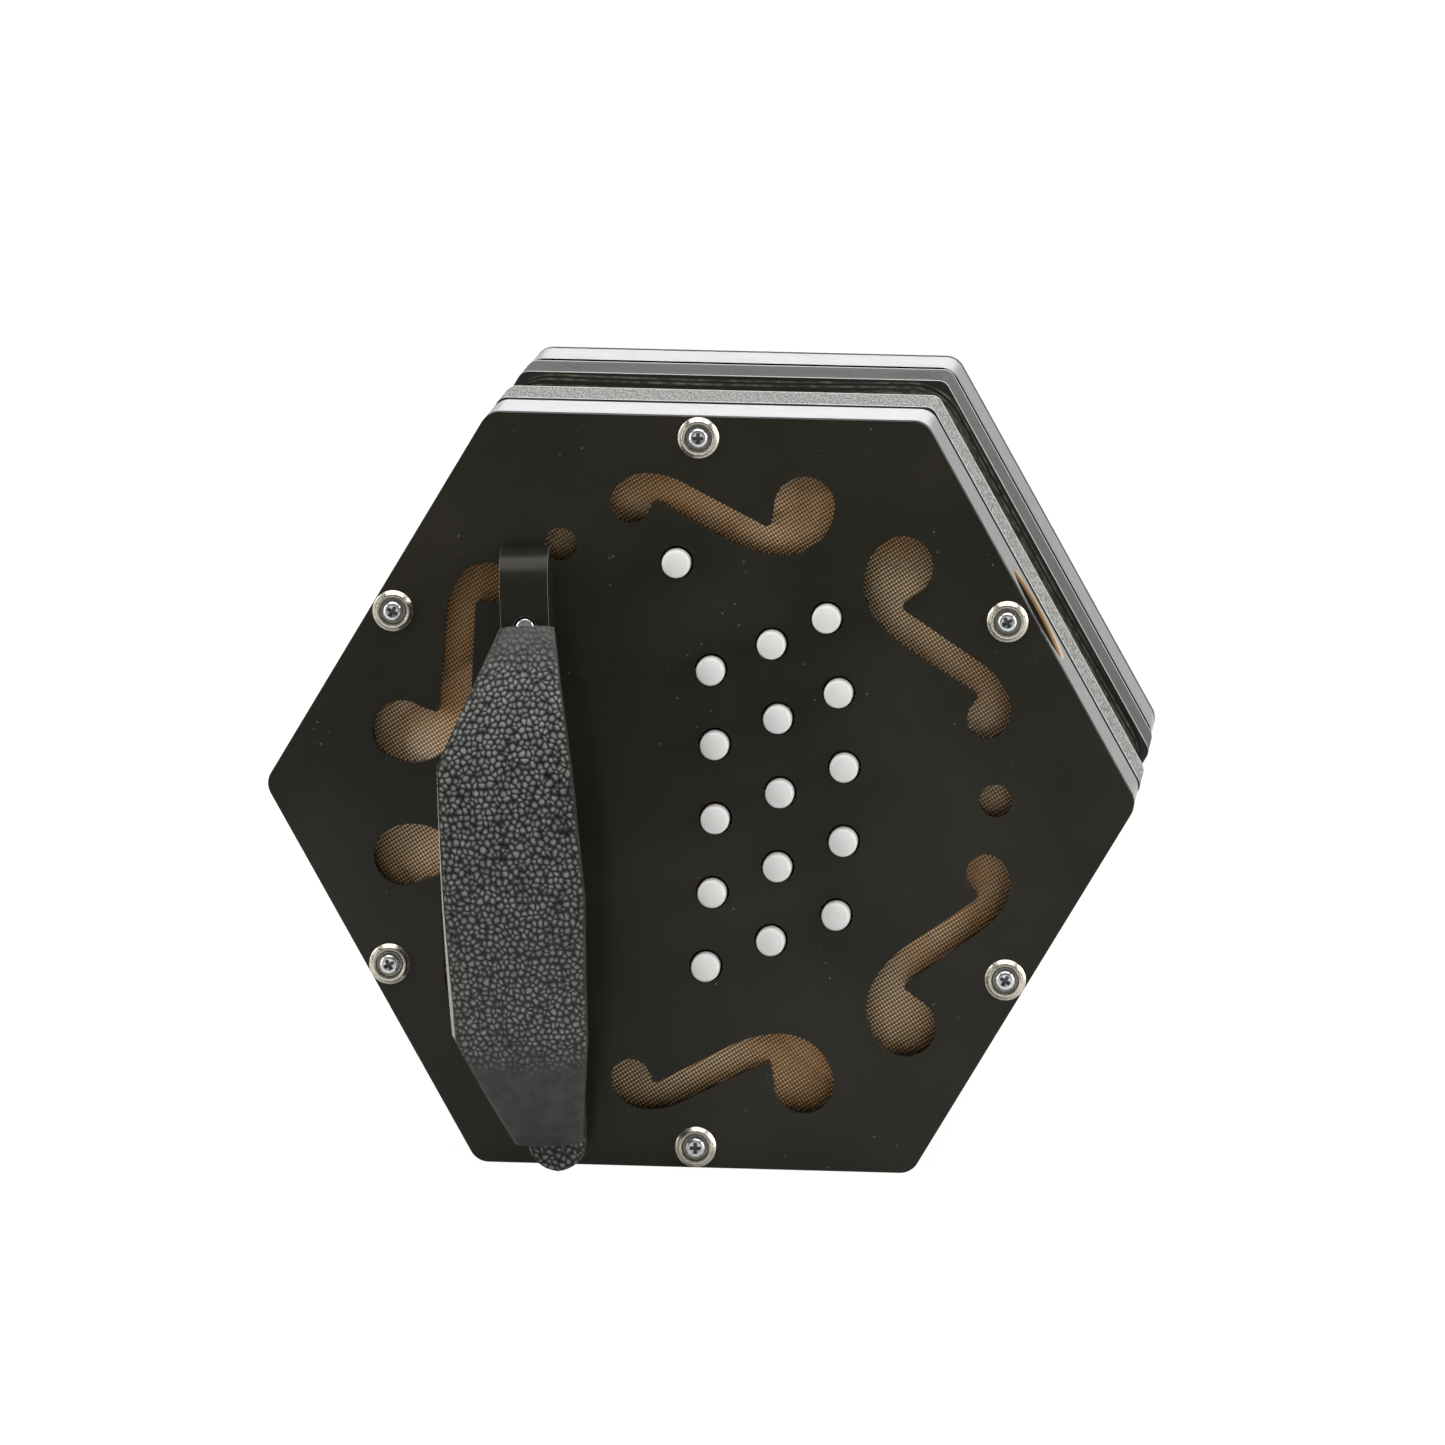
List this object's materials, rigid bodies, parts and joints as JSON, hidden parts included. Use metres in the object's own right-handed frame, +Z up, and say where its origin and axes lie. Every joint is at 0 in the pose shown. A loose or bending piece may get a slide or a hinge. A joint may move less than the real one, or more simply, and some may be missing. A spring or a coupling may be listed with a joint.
{
  "type": "concertina",
  "caption": "Hexagonal button concertina with black lacquered fretted ends, white buttons, folding bellows and leather hand straps.",
  "frame": {"origin": "on the surface it rests on, under the middle of the closed bellows", "axes": "+Z up from the flat it rests on, +Y from the right-hand end to the left-hand end along the bellows, +X towards the fingertip side of the ends"},
  "size_m": [0.2126, 0.249, 0.185],
  "materials": {
    "black_face": "black polished wood, slightly warm, satin to gloss",
    "black_lacquer": "high gloss black lacquer",
    "frame_cloth": "wood covered with black fine-grained book cloth",
    "bellows_cloth": "black-brown bellows cloth over card",
    "woven_screen": "fine woven bronze-tan screen",
    "grained_leather": "black pebble-grained leather with pale raw edges",
    "white_button": "white glossy plastic",
    "nickel": "nickel plate, slightly warm",
    "zinc_steel": "bright zinc-plated steel",
    "brass": "plain brass",
    "plain_wood": "bare sanded wood",
    "pad_leather": "pale suede pad leather"
  },
  "bodies": {
    "left_end": {"bellows": "bellows_cloth", "bellows_frame_left": "frame_cloth", "reed_pan_left": "plain_wood", "reeds_left": "brass", "action_board_left": "plain_wood", "key_levers_left": "brass", "end_box_left": "black_lacquer", "end_plate_left": "black_face", "fret_screen_left": "woven_screen", "end_bolts_left": "zinc_steel", "cup_washers_left": "nickel", "hand_rail_left": "black_lacquer", "rail_screws_left": "zinc_steel", "hand_strap_left": "grained_leather"},
    "right_end": {"bellows_frame_right": "frame_cloth", "reed_pan_right": "plain_wood", "reeds_right": "brass", "action_board_right": "plain_wood", "key_levers_right": "brass", "end_box_right": "black_lacquer", "end_plate_right": "black_face", "fret_screen_right": "woven_screen", "end_bolts_right": "zinc_steel", "cup_washers_right": "nickel", "hand_rail_right": "black_lacquer", "rail_screws_right": "zinc_steel", "hand_strap_right": "grained_leather"},
    "button_right_1": {"button_right_1": "white_button"},
    "button_right_2": {"button_right_2": "white_button"},
    "button_right_3": {"button_right_3": "white_button"},
    "button_right_4": {"button_right_4": "white_button"},
    "button_right_5": {"button_right_5": "white_button"},
    "button_right_6": {"button_right_6": "white_button"},
    "button_right_7": {"button_right_7": "white_button"},
    "button_right_8": {"button_right_8": "white_button"},
    "button_right_9": {"button_right_9": "white_button"},
    "button_right_10": {"button_right_10": "white_button"},
    "button_right_11": {"button_right_11": "white_button"},
    "button_right_12": {"button_right_12": "white_button"},
    "button_right_13": {"button_right_13": "white_button"},
    "button_right_14": {"button_right_14": "white_button"},
    "button_right_15": {"button_right_15": "white_button"},
    "button_left_1": {"button_left_1": "white_button"},
    "button_left_2": {"button_left_2": "white_button"},
    "button_left_3": {"button_left_3": "white_button"},
    "button_left_4": {"button_left_4": "white_button"},
    "button_left_5": {"button_left_5": "white_button"},
    "button_left_6": {"button_left_6": "white_button"},
    "button_left_7": {"button_left_7": "white_button"},
    "button_left_8": {"button_left_8": "white_button"},
    "button_left_9": {"button_left_9": "white_button"},
    "button_left_10": {"button_left_10": "white_button"},
    "button_left_11": {"button_left_11": "white_button"},
    "button_left_12": {"button_left_12": "white_button"},
    "button_left_13": {"button_left_13": "white_button"},
    "button_left_14": {"button_left_14": "white_button"},
    "button_left_15": {"button_left_15": "white_button"},
    "air_button": {"air_button": "white_button"},
    "air_lever": {"air_lever": "brass", "air_pad": "pad_leather"}
  },
  "joints": [
    {"name": "bellows_open", "type": "slide", "parent": "left_end", "child": "right_end", "axis": [0, -1, 0], "range_m": [0, 0.17], "deforming": ["bellows"]},
    {"name": "button_right_1_press", "type": "slide", "parent": "right_end", "child": "button_right_1", "axis": [0, 1, 0], "range_m": [0, 0.003], "stiffness_N_per_m": 150, "springref_m": -0.002},
    {"name": "button_right_2_press", "type": "slide", "parent": "right_end", "child": "button_right_2", "axis": [0, 1, 0], "range_m": [0, 0.003], "stiffness_N_per_m": 150, "springref_m": -0.002},
    {"name": "button_right_3_press", "type": "slide", "parent": "right_end", "child": "button_right_3", "axis": [0, 1, 0], "range_m": [0, 0.003], "stiffness_N_per_m": 150, "springref_m": -0.002},
    {"name": "button_right_4_press", "type": "slide", "parent": "right_end", "child": "button_right_4", "axis": [0, 1, 0], "range_m": [0, 0.003], "stiffness_N_per_m": 150, "springref_m": -0.002},
    {"name": "button_right_5_press", "type": "slide", "parent": "right_end", "child": "button_right_5", "axis": [0, 1, 0], "range_m": [0, 0.003], "stiffness_N_per_m": 150, "springref_m": -0.002},
    {"name": "button_right_6_press", "type": "slide", "parent": "right_end", "child": "button_right_6", "axis": [0, 1, 0], "range_m": [0, 0.003], "stiffness_N_per_m": 150, "springref_m": -0.002},
    {"name": "button_right_7_press", "type": "slide", "parent": "right_end", "child": "button_right_7", "axis": [0, 1, 0], "range_m": [0, 0.003], "stiffness_N_per_m": 150, "springref_m": -0.002},
    {"name": "button_right_8_press", "type": "slide", "parent": "right_end", "child": "button_right_8", "axis": [0, 1, 0], "range_m": [0, 0.003], "stiffness_N_per_m": 150, "springref_m": -0.002},
    {"name": "button_right_9_press", "type": "slide", "parent": "right_end", "child": "button_right_9", "axis": [0, 1, 0], "range_m": [0, 0.003], "stiffness_N_per_m": 150, "springref_m": -0.002},
    {"name": "button_right_10_press", "type": "slide", "parent": "right_end", "child": "button_right_10", "axis": [0, 1, 0], "range_m": [0, 0.003], "stiffness_N_per_m": 150, "springref_m": -0.002},
    {"name": "button_right_11_press", "type": "slide", "parent": "right_end", "child": "button_right_11", "axis": [0, 1, 0], "range_m": [0, 0.003], "stiffness_N_per_m": 150, "springref_m": -0.002},
    {"name": "button_right_12_press", "type": "slide", "parent": "right_end", "child": "button_right_12", "axis": [0, 1, 0], "range_m": [0, 0.003], "stiffness_N_per_m": 150, "springref_m": -0.002},
    {"name": "button_right_13_press", "type": "slide", "parent": "right_end", "child": "button_right_13", "axis": [0, 1, 0], "range_m": [0, 0.003], "stiffness_N_per_m": 150, "springref_m": -0.002},
    {"name": "button_right_14_press", "type": "slide", "parent": "right_end", "child": "button_right_14", "axis": [0, 1, 0], "range_m": [0, 0.003], "stiffness_N_per_m": 150, "springref_m": -0.002},
    {"name": "button_right_15_press", "type": "slide", "parent": "right_end", "child": "button_right_15", "axis": [0, 1, 0], "range_m": [0, 0.003], "stiffness_N_per_m": 150, "springref_m": -0.002},
    {"name": "button_left_1_press", "type": "slide", "parent": "left_end", "child": "button_left_1", "axis": [0, -1, 0], "range_m": [0, 0.003], "stiffness_N_per_m": 150, "springref_m": -0.002},
    {"name": "button_left_2_press", "type": "slide", "parent": "left_end", "child": "button_left_2", "axis": [0, -1, 0], "range_m": [0, 0.003], "stiffness_N_per_m": 150, "springref_m": -0.002},
    {"name": "button_left_3_press", "type": "slide", "parent": "left_end", "child": "button_left_3", "axis": [0, -1, 0], "range_m": [0, 0.003], "stiffness_N_per_m": 150, "springref_m": -0.002},
    {"name": "button_left_4_press", "type": "slide", "parent": "left_end", "child": "button_left_4", "axis": [0, -1, 0], "range_m": [0, 0.003], "stiffness_N_per_m": 150, "springref_m": -0.002},
    {"name": "button_left_5_press", "type": "slide", "parent": "left_end", "child": "button_left_5", "axis": [0, -1, 0], "range_m": [0, 0.003], "stiffness_N_per_m": 150, "springref_m": -0.002},
    {"name": "button_left_6_press", "type": "slide", "parent": "left_end", "child": "button_left_6", "axis": [0, -1, 0], "range_m": [0, 0.003], "stiffness_N_per_m": 150, "springref_m": -0.002},
    {"name": "button_left_7_press", "type": "slide", "parent": "left_end", "child": "button_left_7", "axis": [0, -1, 0], "range_m": [0, 0.003], "stiffness_N_per_m": 150, "springref_m": -0.002},
    {"name": "button_left_8_press", "type": "slide", "parent": "left_end", "child": "button_left_8", "axis": [0, -1, 0], "range_m": [0, 0.003], "stiffness_N_per_m": 150, "springref_m": -0.002},
    {"name": "button_left_9_press", "type": "slide", "parent": "left_end", "child": "button_left_9", "axis": [0, -1, 0], "range_m": [0, 0.003], "stiffness_N_per_m": 150, "springref_m": -0.002},
    {"name": "button_left_10_press", "type": "slide", "parent": "left_end", "child": "button_left_10", "axis": [0, -1, 0], "range_m": [0, 0.003], "stiffness_N_per_m": 150, "springref_m": -0.002},
    {"name": "button_left_11_press", "type": "slide", "parent": "left_end", "child": "button_left_11", "axis": [0, -1, 0], "range_m": [0, 0.003], "stiffness_N_per_m": 150, "springref_m": -0.002},
    {"name": "button_left_12_press", "type": "slide", "parent": "left_end", "child": "button_left_12", "axis": [0, -1, 0], "range_m": [0, 0.003], "stiffness_N_per_m": 150, "springref_m": -0.002},
    {"name": "button_left_13_press", "type": "slide", "parent": "left_end", "child": "button_left_13", "axis": [0, -1, 0], "range_m": [0, 0.003], "stiffness_N_per_m": 150, "springref_m": -0.002},
    {"name": "button_left_14_press", "type": "slide", "parent": "left_end", "child": "button_left_14", "axis": [0, -1, 0], "range_m": [0, 0.003], "stiffness_N_per_m": 150, "springref_m": -0.002},
    {"name": "button_left_15_press", "type": "slide", "parent": "left_end", "child": "button_left_15", "axis": [0, -1, 0], "range_m": [0, 0.003], "stiffness_N_per_m": 150, "springref_m": -0.002},
    {"name": "air_button_press", "type": "slide", "parent": "right_end", "child": "air_button", "axis": [0, 1, 0], "range_m": [0, 0.003], "stiffness_N_per_m": 150, "springref_m": -0.002},
    {"name": "air_lever_tilt", "type": "hinge", "parent": "right_end", "child": "air_lever", "pos_m": [0.0184, -0.0587, 0.1492], "axis": [0, 0, -1], "range_deg": [0, 6.9]}
  ],
  "couplings": [
    {"joint": "air_lever_tilt", "follows": "air_button_press", "rad_per_m": 40}
  ]
}
